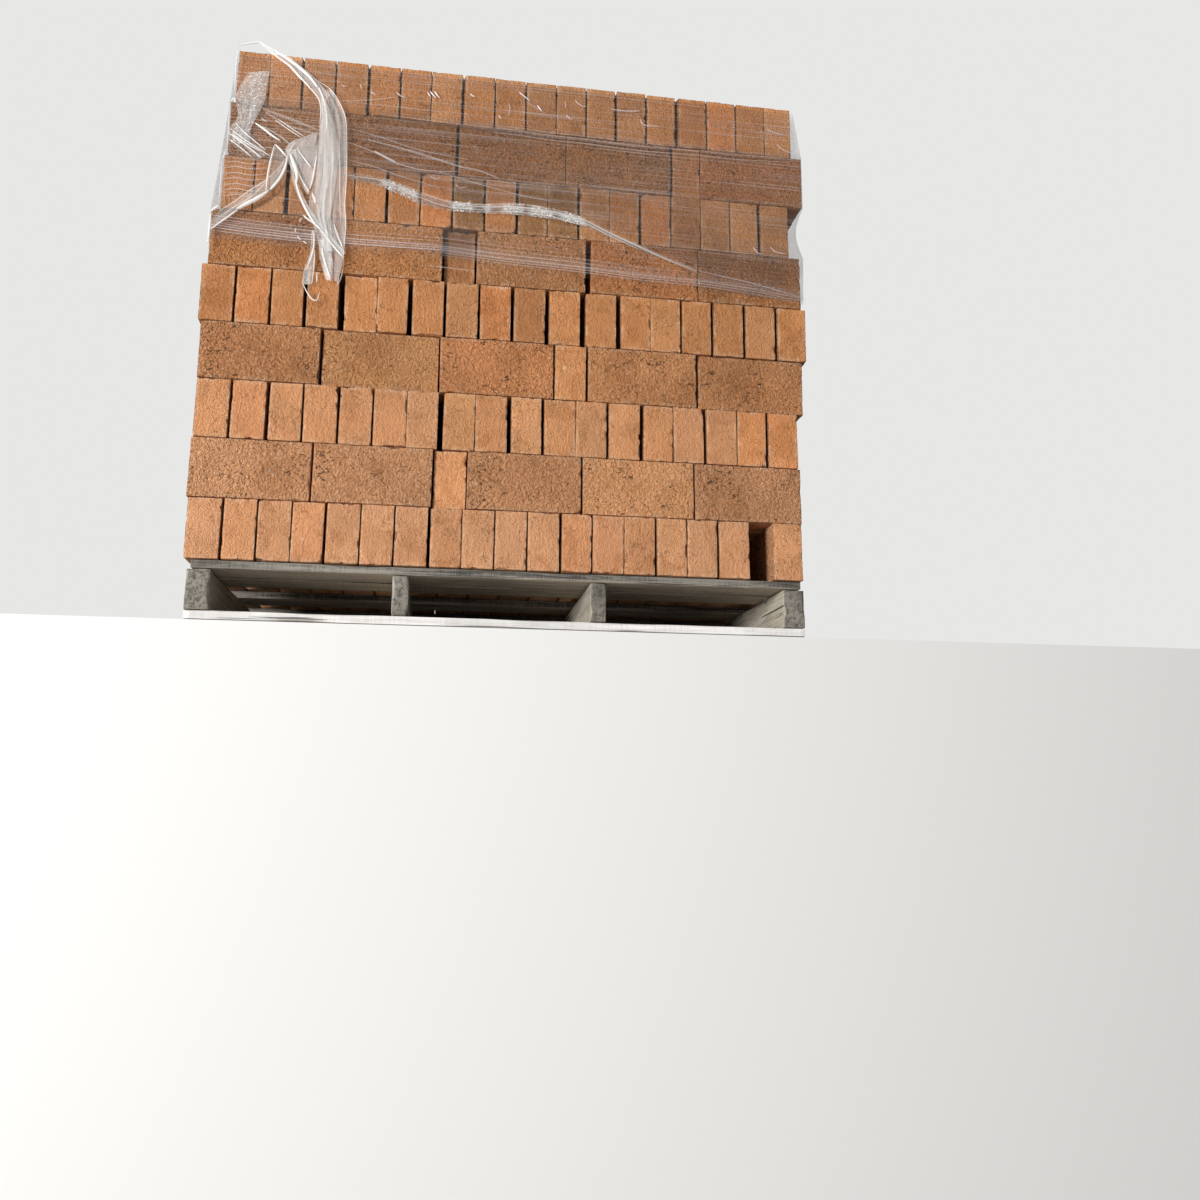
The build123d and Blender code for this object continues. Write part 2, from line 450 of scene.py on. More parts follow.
def make_film_group():
    """Stretched film: its dark haze, the painted highlights of its lines and crinkles, and the white of its
    creases and bunched parts, which is milkiness with painted gleam. U runs with the stretch and V across
    it, both in metres."""
    group, given = new_group("stretched_film", [
        ("Veil", "Float", 0.3), ("Streaks", "Float", 0.3), ("Crinkle_Glint", "Float", 0.0), ("Milk_And_Gleam", "Float", 0.0),
        ("Stretch", "Vector", (1.6, 260.0, 1.0)), ("White", "Color", (0.95, 0.93, 0.90, 1))])
    laid = add_node(group, "ShaderNodeUVMap", uv_map="laid").outputs["UV"]
    drawn = add_node(group, "ShaderNodeVectorMath", {0: laid, 1: given["Stretch"]},
                     operation="MULTIPLY").outputs[0]
    fine_lines = cloud(group, drawn, 1.0, 5.0, 0.85, 0.1)
    patches = cloud(group, stretched(group, laid, (7.0, 24.0, 1.0)), 1.0, 2.0, 0.5)
    # The white of the streaks is painted highlight along the stretch lines.
    streaks = times(group, rise(group, fine_lines, 0.47, 0.66), given["Streaks"],
                    rise(group, patches, 0.35, 0.65, 0.45, 1.0))
    # Glints are painted highlights where the film crinkles.
    inputs = {"Vector": stretched(group, laid, (110.0, 140.0, 1.0)), "Scale": 1.0}
    folds = add_node(group, "ShaderNodeTexVoronoi", inputs, feature="DISTANCE_TO_EDGE").outputs["Distance"]
    bent = cloud(group, laid, 130.0, 4.0, 0.8, 1.6)
    glints = times(group, rise(group, folds, 0.0, 0.12, 1.0, 0.0), rise(group, bent, 0.46, 0.56))
    glints = math_node(group, "MAXIMUM", glints, rise(group, bent, 0.54, 0.62))
    glints = times(group, glints, given["Crinkle_Glint"])
    # The milk is the bunched film's own milkiness and, in creases and bright folds, painted gleam.
    bunched_and_gleam = times(group, given["Milk_And_Gleam"], rise(group, fine_lines, 0.36, 0.60, 0.70, 1.0))
    haze = times(group, given["Veil"], rise(group, patches, 0.2, 0.8, 0.85, 1.15))
    white = math_node(group, "MAXIMUM", math_node(group, "MAXIMUM", streaks, glints), bunched_and_gleam, clamp=True)
    clear = times(group, less(group, 1.0, white), less(group, 1.0, haze))
    cover = math_node(group, "MAXIMUM", less(group, 1.0, clear, clamp=True), 0.002)
    shade = blend(group, math_node(group, "DIVIDE", white, cover, clamp=True), (0.060, 0.050, 0.042, 1),
                  given["White"])
    relief = plus(group, times(group, fine_lines, 0.5), times(group, bent, given["Crinkle_Glint"]))
    return close_group(group, [("Colour", "Color", shade), ("Cover", "Float", cover),
                               ("Relief", "Float", relief)])


film_group = make_film_group()


def make_film(name, stretch, white):
    """Clear stretch film whose haze, painted highlight streaks, crinkle glints and milkiness with painted
    gleam are carried on its points.
    """
    material, tree, shader = new_material(name)
    inputs = {look: attribute(tree, look.lower()) for look in ("Veil", "Streaks", "Crinkle_Glint", "Milk_And_Gleam")}
    inputs |= {"Stretch": stretch, "White": white}
    film = add_node(tree, "ShaderNodeGroup", inputs, node_tree=film_group).outputs
    set_inputs(tree, shader, {"Base Color": film["Colour"], "Alpha": film["Cover"], "Roughness": 0.2,
                              "IOR": 1.5, "Normal": bump(tree, film["Relief"], 0.5, 0.0015)})
    return material


clay = make_clay()
board_timber = make_timber("weathered_board", no_turn, (0.055, 0.050, 0.044, 1), (0.30, 0.275, 0.238, 1),
                           (0.70, 0.59, 0.46, 1))
stringer_timber = make_timber("weathered_stringer", quarter_turn, (0.085, 0.077, 0.065, 1),
                              (0.275, 0.25, 0.212, 1), (0.32, 0.265, 0.20, 1),
                              sawn=((0.15, 0.13, 0.10, 1), (0.42, 0.375, 0.30, 1)))
pale_timber = make_timber("pale_board", no_turn, (0.70, 0.66, 0.62, 1), (0.92, 0.895, 0.87, 1),
                          (0.55, 0.47, 0.37, 1))
nail_steel = make_nail_steel()
wrap_film = make_film("wrapped_film", (1.1, 215.0, 1.0), (0.93, 0.88, 0.90, 1))
loose_film = make_film("loose_film", (420.0, 7.0, 1.0), (0.96, 0.95, 0.92, 1))


# Making pieces

def make_object(name, bm, material):
    """Turns a bmesh into an object of one material."""
    mesh = bpy.data.meshes.new(name)
    bm.to_mesh(mesh)
    bm.free()
    mesh.materials.append(material)
    made = bpy.data.objects.new(name, mesh)
    bpy.context.scene.collection.objects.link(made)
    return made


def finish_piece(name, bm, material, slot, *nodes):
    """Turns a bmesh into a piece that rides on the load and stands for the named nodes."""
    for face in bm.faces:
        face.smooth = True
    piece = make_object(name, bm, material)
    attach(piece, "root")
    if nodes:
        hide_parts(*nodes)
    return piece


def cut_cells(bm, size, cells, crowding=(1, 1, 1)):
    """Cuts a block round the origin into cells. A crowding over 1 brings an axis's cuts nearer to
    its low end."""
    for axis, count in enumerate(cells):
        normal = Vector((0, 0, 0))
        normal[axis] = 1
        for cut in range(1, count):
            place = normal * size[axis] * ((cut / count) ** crowding[axis] - 0.5)
            bmesh.ops.bisect_plane(bm, geom=bm.verts[:] + bm.edges[:] + bm.faces[:], dist=1e-6,
                                   plane_co=place, plane_no=normal)


def rounded_block(size, radius, segments):
    """A block round the origin with rounded arrises."""
    bm = bmesh.new()
    bmesh.ops.create_cube(bm, size=1)
    bmesh.ops.scale(bm, vec=size, verts=bm.verts)
    bmesh.ops.bevel(bm, geom=bm.edges[:], affect="EDGES", offset=radius, segments=segments, profile=0.5,
                    material=-1, clamp_overlap=True)
    return bm


def random_shift(draw, reach):
    """A piece's own place in the noise."""
    return Vector([draw.uniform(0, reach) for _ in range(3)])


def outward(place, half, radius):
    """The direction that a rounded block's surface faces at a place."""
    facing = Vector((0, 0, 0))
    for axis in range(3):
        inset = half[axis] - abs(place[axis])
        facing[axis] = math.copysign(max(radius * 1.02 - inset, 0), place[axis])
    return facing.normalized()


# Bricks

common_clay = (0.678, 0.291, 0.109)
light_clay = (0.746, 0.339, 0.135)
dark_clay = (0.599, 0.251, 0.092)
red_clay = (0.712, 0.280, 0.100)
dull_clay = (0.638, 0.291, 0.121)
orange_clay = (0.825, 0.316, 0.092)
bright_clay = (0.859, 0.377, 0.130)
ochre_clay = (0.650, 0.297, 0.108)
olive_clay = (0.424, 0.205, 0.081)
shaded_clay = (0.452, 0.200, 0.083)
rosy_clay = (0.644, 0.291, 0.127)
# The paler clay that the lower courses are blended towards: dust and painted light.
dust_and_light_clay = (0.860, 0.455, 0.258)
course_shades = {"course_1": 1.04, "course_2": 1.24, "course_4": 1.09, "course_5": 0.93, "course_8": 1.12}
kiln_tints = (common_clay, common_clay, light_clay, dark_clay, red_clay, dull_clay, common_clay)
odd_bricks = {("course_2", 5): bright_clay, ("course_3", 8): ochre_clay, ("course_3", 15): rosy_clay,
              ("course_3", 16): rosy_clay, ("course_3", 17): orange_clay, ("course_3", 18): orange_clay,
              ("course_4", 2): ochre_clay, ("course_7", 8): olive_clay, ("course_7", 10): olive_clay,
              ("course_7", 11): olive_clay, ("course_6", 3): shaded_clay}
firing_spread = (0.90, 1.07)
dust_and_light_spread = (0.7, 1.1)


def stands_in_front(low):
    """Whether a brick with this lowest corner shows on the load's front, pushed back or not."""
    return low.y < front_face + deepest_push


def brick_boxes(node):
    """The lowest and highest corner of each brick of a course, front rows first, left to right."""
    bm = bmesh.new()
    bm.from_mesh(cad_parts[node].data)
    bmesh.ops.remove_doubles(bm, verts=bm.verts, dist=1e-5)
    waiting = set(bm.verts)
    boxes = []
    while waiting:
        brick = [waiting.pop()]
        for vertex in brick:
            for edge in vertex.link_edges:
                other = edge.other_vert(vertex)
                if other in waiting:
                    waiting.remove(other)
                    brick.append(other)
        low = Vector([min(vertex.co[axis] for vertex in brick) for axis in range(3)])
        high = Vector([max(vertex.co[axis] for vertex in brick) for axis in range(3)])
        boxes.append((low, high))
    bm.free()
    return sorted(boxes, key=lambda box: (not stands_in_front(box[0]), round(box[0].x, 3),
                                          round(box[0].y, 3)))


blanks = {}


def brick_blank(size, look):
    """A brick's plain shape round the origin, as finely cut as its look needs."""
    key = (round(size.x, 3), round(size.y, 3), look)
    if key not in blanks:
        if look == "front":
            bm = rounded_block(size, arris_radius, 2)
            deep = header_cells_deep if size.y > size.x else stretcher_cells_deep
            cells = (round(size.x / front_cell), deep, round(size.z / front_cell))
            cut_cells(bm, size, cells, (1, front_crowding, 1))
            bm.normal_update()
            back = [face for face in bm.faces if face.normal.y > 0.99]
            bmesh.ops.dissolve_faces(bm, faces=back)
        else:
            bm = rounded_block(size, arris_radius, 1)
            if look == "outer":
                cut_cells(bm, size, [max(round(length / outer_cell), 1) for length in size])
        mesh = bpy.data.meshes.new("brick_blank")
        bm.to_mesh(mesh)
        bm.free()
        blanks[key] = mesh
    return blanks[key]


def chip_places(half, draw):
    """Centres and radii of the chips along a brick's front arrises."""
    chips = []
    for _ in range(draw.randint(0, chips_at_most)):
        radius = draw.uniform(*chip_radii) * draw.choice((0.6, 1))
        if draw.random() < 0.5:
            place = Vector((draw.choice((-1, 1)) * half.x, -half.y, draw.uniform(-1, 1) * half.z))
        else:
            place = Vector((draw.uniform(-1, 1) * half.x, -half.y, draw.choice((-1, 1)) * half.z))
        chips.append((place, radius))
    return chips


def shape_brick(verts, layers, low, high, room, look, tint, draw):
    """Gives a blank its own warp, wear and chips, and sets it in its place in the course. room is
    the joint on its left and on its right, where it may stand to one side."""
    size = high - low
    half = size / 2
    centre = (low + high) / 2
    bed_axis = 0 if size.y > size.x else 1
    in_front = look == "front"
    shift = random_shift(draw, 40)
    chips = chip_places(half, draw) if in_front else []
    slip = draw.uniform(0, front_slip) if in_front else 0
    lowered = draw.uniform(0, height_spread)
    lean = draw.uniform(-most_lean, most_lean) if in_front else 0
    shortened = draw.choice(narrowings) / 2 if in_front else -inner_growth
    narrowed = abs(lean) * half.z * 0.5 + shortened
    aside = 0
    grown = (0, 0)
    if in_front:
        grown = [min(grown_share * joint, most_grown) for joint in room]
        aside = draw.choice((-room[0] / 2 - shortened, room[1] / 2 + shortened)) * draw.uniform(0.5, 1)
    in_top_course = stack_high.z - high.z < level_tolerance
    for vertex in verts:
        place = vertex.co.copy()
        sample = place + shift
        facing = outward(place, half, arris_radius)
        nearest_arris = sorted(half[axis] - abs(place[axis]) for axis in range(3))[1]
        at_arris = max(1 - nearest_arris / arris_wear_reach, 0)
        sunk = 0
        worn = 0
        if look != "inner":
            sunk = face_unevenness * (0.5 + 0.5 * noise.noise(sample * unevenness_fineness))
            frayed = noise.noise(sample * wear_fineness) + fray_share * noise.noise(sample * fray_fineness)
            worn = arris_wear * at_arris ** 2 * max(frayed - least_fray, 0)
            for chip, radius in chips:
                reach = (place - chip).length / radius
                reach /= 1 + chip_raggedness * noise.noise(sample * chip_fineness)
                worn += chip_depth * radius * max(1 - reach, 0)
        side = place.x / half.x
        beside = 0 if side < 0 else 1
        place.x += side * grown[beside]
        waisting = Vector((shift.x, place.z * waist_fineness_up, place.y * waist_fineness_back))
        waisted = waist * (0.5 + 0.5 * noise.noise(waisting))
        place -= facing * (sunk + worn)
        across = lean * place.z - side * (narrowed + waisted) + aside
        if in_front and in_top_course:
            behind = eased(touching_from, touching_to, place.y + half.y)
            across = between(across, side * room[beside] * touching_share, behind)
        place.x += across
        place.z -= lowered * (place.z + half.z) / size.z
        place.y += slip * (0.5 - place.y / size.y)
        vertex.co = centre + place
        vertex[layers["clay"]] = (*tint, 1)
        vertex[layers["shift"]] = shift
        vertex[layers["arris"]] = min(at_arris + paling_by_wear * worn, 1)
        vertex[layers["bed"]] = abs(facing[bed_axis])


def lay_bricks(node):
    """One course of bricks in place of its plain solids."""
    bm = bmesh.new()
    verts = bm.verts.layers
    layers = {"clay": verts.float_color.new("clay"), "shift": verts.float_vector.new("shift"),
              "arris": verts.float.new("arris"), "bed": verts.float.new("bed")}
    course_low, course_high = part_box(node)
    top_course = course_high.z > stack_high.z - level_tolerance
    boxes = brick_boxes(node)
    front_row = [box for box in boxes if stands_in_front(box[0])]
    joints = [there[0].x - here[1].x for here, there in zip(front_row, front_row[1:])]
    rooms = [tuple(min(joint, widest_slip) for joint in pair) for pair in zip([0] + joints, joints + [0])]
    for number, (low, high) in enumerate(boxes):
        draw = random.Random(f"{node} {number}")
        tint = draw.choice(kiln_tints)
        fired = draw.uniform(*firing_spread) * course_shades.get(node, 1)
        ends = (low.x - course_low.x, course_high.x - high.x, stack_high.y - high.y)
        look = "outer" if min(ends) < level_tolerance or top_course else "inner"
        room = (0, 0)
        if number < len(front_row):
            look = "front"
            room = rooms[number]
            tint = odd_bricks.get((node, number + 1), tint)
        # Paler towards the foot: dust, and painted light brighter low on the load.
        dust_and_light = most_dust_and_light * eased(dust_and_light_top, dust_and_light_foot, low.z) * draw.uniform(*dust_and_light_spread)
        tint = [between(channel * fired, dusty_and_lit, dust_and_light) for channel, dusty_and_lit in zip(tint, dust_and_light_clay)]
        before = len(bm.verts)
        bm.from_mesh(brick_blank(high - low, look))
        bm.verts.ensure_lookup_table()
        shape_brick(bm.verts[before:], layers, low, high, room, look, tint, draw)
    return finish_piece(node.replace("course", "brick_course"), bm, clay, "brick", node)


for number in range(1, 10):
    lay_bricks(f"course_{number}")


# Pallet

cell_along_grain = 0.014
cell_across_grain = 0.0062
stringer_cells = 50
stringer_crowding = 1.25
board_edge_radius = 0.0018
saw_waviness = 0.0011
saw_fineness = (14, 3.5)
grain_relief = 0.0005
grain_fineness = (60, 5)
edge_wear = 0.0035
edge_wear_reach = 0.010
edge_wear_fineness = 2.2
edge_wear_spread = 0.15


def along_grain(axis, across, along):
    """A fineness of noise that differs along the grain's axis."""
    fineness = Vector((across, across, across))
    fineness[axis] = along
    return fineness


def saw_timber(node, material, grain_axis):
    """A board or stringer in place of its node."""
    low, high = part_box(node)
    size = high - low
    half = size / 2
    centre = (low + high) / 2
    draw = random.Random(node)
    shift = random_shift(draw, 30)
    bm = rounded_block(size, board_edge_radius, 2)
    cells = [max(round(length / cell_across_grain), 2) for length in size]
    if grain_axis == 1:
        cut_cells(bm, size, [cells[0], stringer_cells, cells[2]], (1, stringer_crowding, 1))
    else:
        cut_cells(bm, size, [max(round(size.x / cell_along_grain), 2), cells[1], cells[2]])
    shift_layer = bm.verts.layers.float_vector.new("shift")
    arris_layer = bm.verts.layers.float.new("arris")
    fibre = along_grain(grain_axis, *grain_fineness)
    slow = along_grain(grain_axis, *saw_fineness)
    for vertex in bm.verts:
        place = vertex.co.copy()
        sample = place + shift
        facing = outward(place, half, board_edge_radius)
        nearest_edge = sorted(half[axis] - abs(place[axis]) for axis in range(3))[1]
        at_edge = max(1 - nearest_edge / edge_wear_reach, 0) ** 2
        bent = saw_waviness * (0.5 + 0.5 * noise.noise(sample * slow))
        ribbed = grain_relief * (0.5 + 0.5 * noise.noise(sample * fibre))
        frayed = noise.noise(sample * slow * edge_wear_fineness) + edge_wear_spread
        worn = edge_wear * at_edge * max(frayed, 0)
        vertex.co = centre + place - facing * (bent + ribbed + worn)
        vertex[shift_layer] = shift
        vertex[arris_layer] = at_edge
    return finish_piece(node + "_timber", bm, material, "pallet_wood", node)


stringer_nodes = ("stringer_left", "stringer_inner_left", "stringer_inner_right", "stringer_right")
deck_nodes = [f"deck_board_{number}" for number in range(1, 7)]
bottom_nodes = [f"bottom_board_{name}" for name in ("front", "middle", "back")]
for nodes, material, grain_axis in ((deck_nodes, board_timber, 0), (stringer_nodes, stringer_timber, 1),
                                    (bottom_nodes, pale_timber, 0)):
    for node in nodes:
        saw_timber(node, material, grain_axis)

nail_head_radius = 0.0036
nail_head_height = 0.0012
nail_head_sunk = 0.0006
nail_radius = 0.0015
nail_length = 0.030
nail_spacing = 0.052
nail_scatter = 0.006
nail_lean = 0.06
stray_nail_pixel = (765, 602)
stray_nail_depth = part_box("deck_board_2")[0].y + 0.018
stray_nail_length = 0.022


def add_nail(bm, head, direction, length, lean=0.0):
    """A nail from its head inwards. It leans to the right by lean."""
    turn = direction.to_track_quat("-Z", "Y").to_matrix().to_4x4() @ Matrix.Rotation(lean, 4, "Y")
    for radius, depth in ((nail_head_radius, nail_head_height), (nail_radius, length)):
        matrix = Matrix.Translation(head) @ turn @ Matrix.Translation((0, 0, -depth / 2))
        bmesh.ops.create_cone(bm, cap_ends=True, segments=12, radius1=radius, radius2=radius, depth=depth,
                              matrix=matrix)


def drive_nails():
    """Two nails where each board crosses a stringer, and a stray one under the deck."""
    draw = random.Random("nails")
    bm = bmesh.new()
    for board in deck_nodes + bottom_nodes:
        inwards = -1 if board in deck_nodes else 1
        board_low, board_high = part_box(board)
        outer_face = board_high.z if board in deck_nodes else board_low.z
        for stringer in stringer_nodes:
            low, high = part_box(stringer)
            for side in (-1, 1):
                x = (low.x + high.x) / 2 + draw.uniform(-nail_scatter, nail_scatter)
                y = (board_low.y + board_high.y + side * nail_spacing) / 2
                y += draw.uniform(-nail_scatter, nail_scatter)
                head = Vector((x, y, outer_face + inwards * nail_head_sunk))
                add_nail(bm, head, Vector((0, 0, inwards)), nail_length, draw.uniform(-nail_lean, nail_lean))
    stray = seen_at(stray_nail_pixel, stray_nail_depth)
    add_nail(bm, stray, Vector((0.25, 0.1, 1)).normalized(), stray_nail_length)
    return finish_piece("pallet_nails", bm, nail_steel, "pallet_wood")


drive_nails()


# Film

fold_upper_line = [(345, 172), (380, 177), (404, 185), (424, 193), (450, 201), (486, 204), (515, 204),
                   (553, 209), (584, 218), (610, 231), (640, 245), (668, 258), (697, 270)]
low_band_line = [(205, 226), (262, 234), (345, 243), (440, 250), (500, 258), (580, 267), (640, 275),
                 (700, 281), (759, 290), (806, 300)]
top_band_line = [(380, 114), (425, 120), (457, 124), (492, 128), (519, 131), (554, 136), (584, 139),
                 (614, 143), (648, 147), (699, 151), (735, 155), (791, 158)]
fold_heights = [on_front(pixel) for pixel in fold_upper_line]
low_band_heights = [on_front(pixel) for pixel in low_band_line]
top_band_heights = [on_front(pixel) for pixel in top_band_line]
torn_end_right = on_front((346, 180)).x
hollow_left = on_front((441, 230)).x
hollow_right = on_front((473, 230)).x
hollow_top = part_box("course_6")[1].z


def wrap_edges():
    """The wrap's left and right edge as lines of places from its foot to its head."""
    in_front = [vertex.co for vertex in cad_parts["film_wrap"].data.vertices
                if vertex.co.y < film_front + 1e-4]
    found = {(round(place.x, 4), round(place.z, 4)) for place in in_front}
    left = sorted((z, x) for x, z in found if x < 0)
    right = sorted((z, x) for x, z in found if x > 0)
    return left, right


def reach_at(edge, z):
    """How far out an edge of the wrap is at a height."""
    for (low_z, low_x), (high_z, high_x) in zip(edge, edge[1:]):
        if z <= high_z:
            share = (z - low_z) / max(high_z - low_z, 1e-6)
            return between(low_x, high_x, min(max(share, 0), 1))
    return edge[-1][1]


wrap_left, wrap_right = wrap_edges()


def add_film(bm, columns, rows, size, place, paint):
    """Lays a sheet of film into a bmesh. place gives where a point of the sheet goes and paint its
    veil, painted highlight streaks, crinkle with its painted glints, and milk with its painted gleam. Both
    take its shares of the sheet's width and length."""
    laid = bm.loops.layers.uv.get("laid") or bm.loops.layers.uv.new("laid")
    names = ("veil", "streaks", "crinkle_glint", "milk_and_gleam")
    layers = [bm.verts.layers.float.get(name) or bm.verts.layers.float.new(name) for name in names]
    made = bmesh.ops.create_grid(bm, x_segments=columns, y_segments=rows, size=0.5)["verts"]
    shares = {vertex: (vertex.co.x + 0.5, vertex.co.y + 0.5) for vertex in made}
    faces = {face for vertex in made for face in vertex.link_faces}
    for face in faces:
        for loop in face.loops:
            across, along = shares[loop.vert]
            loop[laid].uv = (across * size[0], along * size[1])
    for vertex, (across, along) in shares.items():
        vertex.co = place(across, along)
        for layer, value in zip(layers, paint(across, along, vertex.co)):
            vertex[layer] = value
    return made


left_bow = 0.0022
left_bow_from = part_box("course_6")[1].z
left_bow_to = wrap_high.z
right_bow = 0.016
right_bow_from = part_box("course_7")[0].z
right_bow_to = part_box("course_7")[1].z


def hump(low, high, value):
    """A smooth rise and fall between low and high."""
    return math.sin(math.pi * min(max((value - low) / (high - low), 0), 1))


def wrap_column(share):
    """Where a column of the wrap stands: its shares of the load's width and depth, and which way
    it faces. The wrap's columns run round the load from its left front corner."""
    sides = (((0, 0), (1, 0)), ((1, 0), (1, 1)), ((1, 1), (0, 1)), ((0, 1), (0, 0)))
    part = share * 4
    side = min(int(part), 3)
    within = part - side
    start, end = sides[side]
    turn = -90 + 90 * side
    if within > 1 - corner_share:
        turn += 90 * (within - 1 + corner_share) / corner_share
        within = 1
    else:
        within = within / (1 - corner_share)
    angle = math.radians(turn)
    return (between(start[0], end[0], within), between(start[1], end[1], within),
            math.cos(angle), math.sin(angle))


wrap_height = wrap_high.z - wrap_low.z
wrap_round = 2 * (wrap_high.x - wrap_low.x + wrap_high.y - wrap_low.y)


def place_wrap(across, along):
    """A point of the wrap, pulled tight round the load."""
    width_share, depth_share, facing_x, facing_y = wrap_column(across)
    rough_x = between(wrap_low.x, wrap_high.x, width_share)
    foot = between(wrap_left[0][0], wrap_right[0][0], (rough_x - wrap_low.x) / (wrap_high.x - wrap_low.x))
    z = between(foot, wrap_high.z, along)
    left = reach_at(wrap_left, z) + film_corner + left_bow * hump(left_bow_from, left_bow_to, z)
    right = reach_at(wrap_right, z) - film_corner - right_bow * hump(right_bow_from, right_bow_to, z)
    x = between(left, right, width_share) + film_corner * facing_x
    y = between(wrap_low.y + film_corner, wrap_high.y - film_corner, depth_share) + film_corner * facing_y
    run = across * wrap_round
    ripple = noise.noise(Vector((run * 2.3, z * 95 + run * 3, 3)))
    ripple += 0.5 * noise.noise(Vector((run * 4, z * 210, 9)))
    lift = film_lift * (0.6 + ripple)
    return Vector((x + lift * facing_x, y + lift * facing_y, z))


def paint_wrap(across, along, place):
    """The wrap's veil, painted highlight streaks, crinkle glints and milk with painted gleam at a point."""
    if place.y > film_front + 0.02:
        low_edge = eased(0.16, 0.0, along)
        return 0.22, 0.22 + 0.3 * low_edge, 0.0, 0.10 * low_edge
    x, z = place.x, place.z
    over_fold = z - height_of_line(fold_heights, x)
    over_low = z - height_of_line(low_band_heights, x)
    over_top = z - height_of_line(top_band_heights, x)
    left_part = eased(torn_end_right + 0.02, torn_end_right - 0.06, x)
    right_part = eased(fold_heights[-1].x - 0.03, fold_heights[-1].x + 0.03, x)
    veil = 0.06 + 0.21 * eased(-0.008, 0.012, over_fold)
    veil = max(veil, 0.18 * left_part, 0.22 * right_part)
    veil *= 1 - 0.45 * eased(0.0, 0.02, over_top)
    hollow = eased(-0.005, 0.005, x - hollow_left) * eased(0.005, -0.005, x - hollow_right)
    veil += 0.30 * hollow * eased(-0.02, 0.01, over_low) * eased(0.004, -0.004, z - hollow_top)
    veil = between(veil, 0.02, eased(-0.010, -0.028, over_low))
    near_low = eased(0.020, 0.004, abs(over_low - 0.004))
    streaks = 0.10 + 0.12 * eased(0.0, 0.02, over_fold) + 0.12 * left_part + 0.20 * near_low
    streaks *= eased(-0.030, -0.014, over_low)
    return veil, streaks, 0.0, 0.05 * near_low


def ribbon(pixels, width, proud):
    """A placing of a narrow fold of film along a line of pixels, pinched at both ends."""
    points = [on_front(pixel, proud) for pixel in pixels]

    def place(across, along):
        here = follow(points, along)
        ahead = follow(points, min(along + 0.02, 1)) - follow(points, max(along - 0.02, 0))
        breadth = width * max(math.sin(math.pi * along), 0) ** 0.4
        side = Vector((-ahead.z, 0, ahead.x)).normalized()
        ridge = 0.5 * width * (1 - abs(2 * across - 1))
        return here + side * breadth * (across - 0.5) - Vector((0, ridge, 0))
    return place


def even_paint(veil, streaks, crinkle_glint, milk_and_gleam, fade=0.0):
    """A painting with the same values all over, fading towards its sides."""
    def paint(across, along, place):
        middle = 1 - fade * abs(2 * across - 1)
        return veil * middle, streaks * middle, crinkle_glint * middle, milk_and_gleam * middle
    return paint


def add_creases(bm, creases, proud):
    """Lays narrow folds of film into a bmesh: how many pixels wide, how white or, below 0, how
    dark, and where. The white goes into the milk and is the fold's milkiness with painted highlight."""
    for pixels_wide, white, pixels in creases:
        steps = zip(pixels, pixels[1:])
        length = sum((Vector(there) - Vector(here)).length for here, there in steps) * pixel_reach
        width = pixels_wide * pixel_reach
        add_film(bm, 2, max(round(length / crease_cell), 3), (width, length), ribbon(pixels, width, proud),
                 even_paint(max(-white, 0.03), 0.0, 0.0, max(white, 0), 0.3))


def lowered(line, pixels):
    """A line of pixels moved down."""
    return [(x, y + pixels) for x, y in line]


def runs(line, *rows):
    """Creases along a line of pixels: how many pixels wide, how white, from which point to before
    which, and how many pixels lower than the line."""
    return [(wide, white, lowered(line[start:stop], down)) for wide, white, start, stop, down in rows]


# Creases of the wrap, as pixels wide, whiteness and pixels of their line: along the bands' edges,
# across the left end and the brown course, and short painted glints. Their whiteness is milky film with
# painted highlight.
wrap_creases = runs(top_band_line, (2.0, 0.17, 0, None, 0), (1.6, -0.45, 0, None, 2.4),
                    (1.2, 0.14, 0, None, -3), (1.6, 0.24, 3, None, 4.4))
wrap_creases += runs(low_band_line, (1.3, 0.45, 0, 4, 0), (1.2, 0.34, 0, 4, -5), (1.1, 0.34, 0, 4, -9),
                     (1.1, 0.30, 0, 4, -2.5), (1.1, 0.26, 0, 3, -12), (1.1, 0.24, 0, 3, 3),
                     (2.2, 0.20, 2, None, 0), (1.1, 0.30, 3, None, 2.6), (1.1, 0.24, 3, None, 5),
                     (1.1, 0.26, 2, 7, -4), (1.1, 0.20, 3, 8, -8), (1.1, 0.18, 2, 6, -12))
wrap_creases += [
    (1.2, 0.34, [(699, 271), (730, 278), (759, 285), (802, 298)]),
    (1.1, 0.26, [(424, 265), (450, 268), (475, 271)]),
]
wrap_creases += [(1.2, 0.34, [(223, y + 1), (236, y - 0.5), (250, y + 2), (266, y + 1)])
                 for y in (162, 167, 173, 178, 184, 189, 195)]
wrap_creases += [
    (1.4, 0.34, [(348, 142), (376, 153), (396, 163), (424, 170), (460, 172)]),
    (1.8, 0.55, [(374, 151), (386, 157), (396, 162)]),
    (2.6, 0.26, [(368, 140), (396, 147), (427, 156), (458, 166), (480, 171), (500, 179)]),
    (1.3, 0.26, [(349, 160), (375, 167), (400, 176), (440, 188)]),
    (1.3, 0.24, [(440, 172), (475, 183), (520, 195), (560, 203)]),
    (1.3, 0.24, [(348, 128), (380, 137), (420, 150), (470, 160)]),
    (1.4, 0.3, [(455, 184), (461, 188), (468, 186)]), (1.3, 0.3, [(430, 176), (436, 179), (441, 177)]),
]
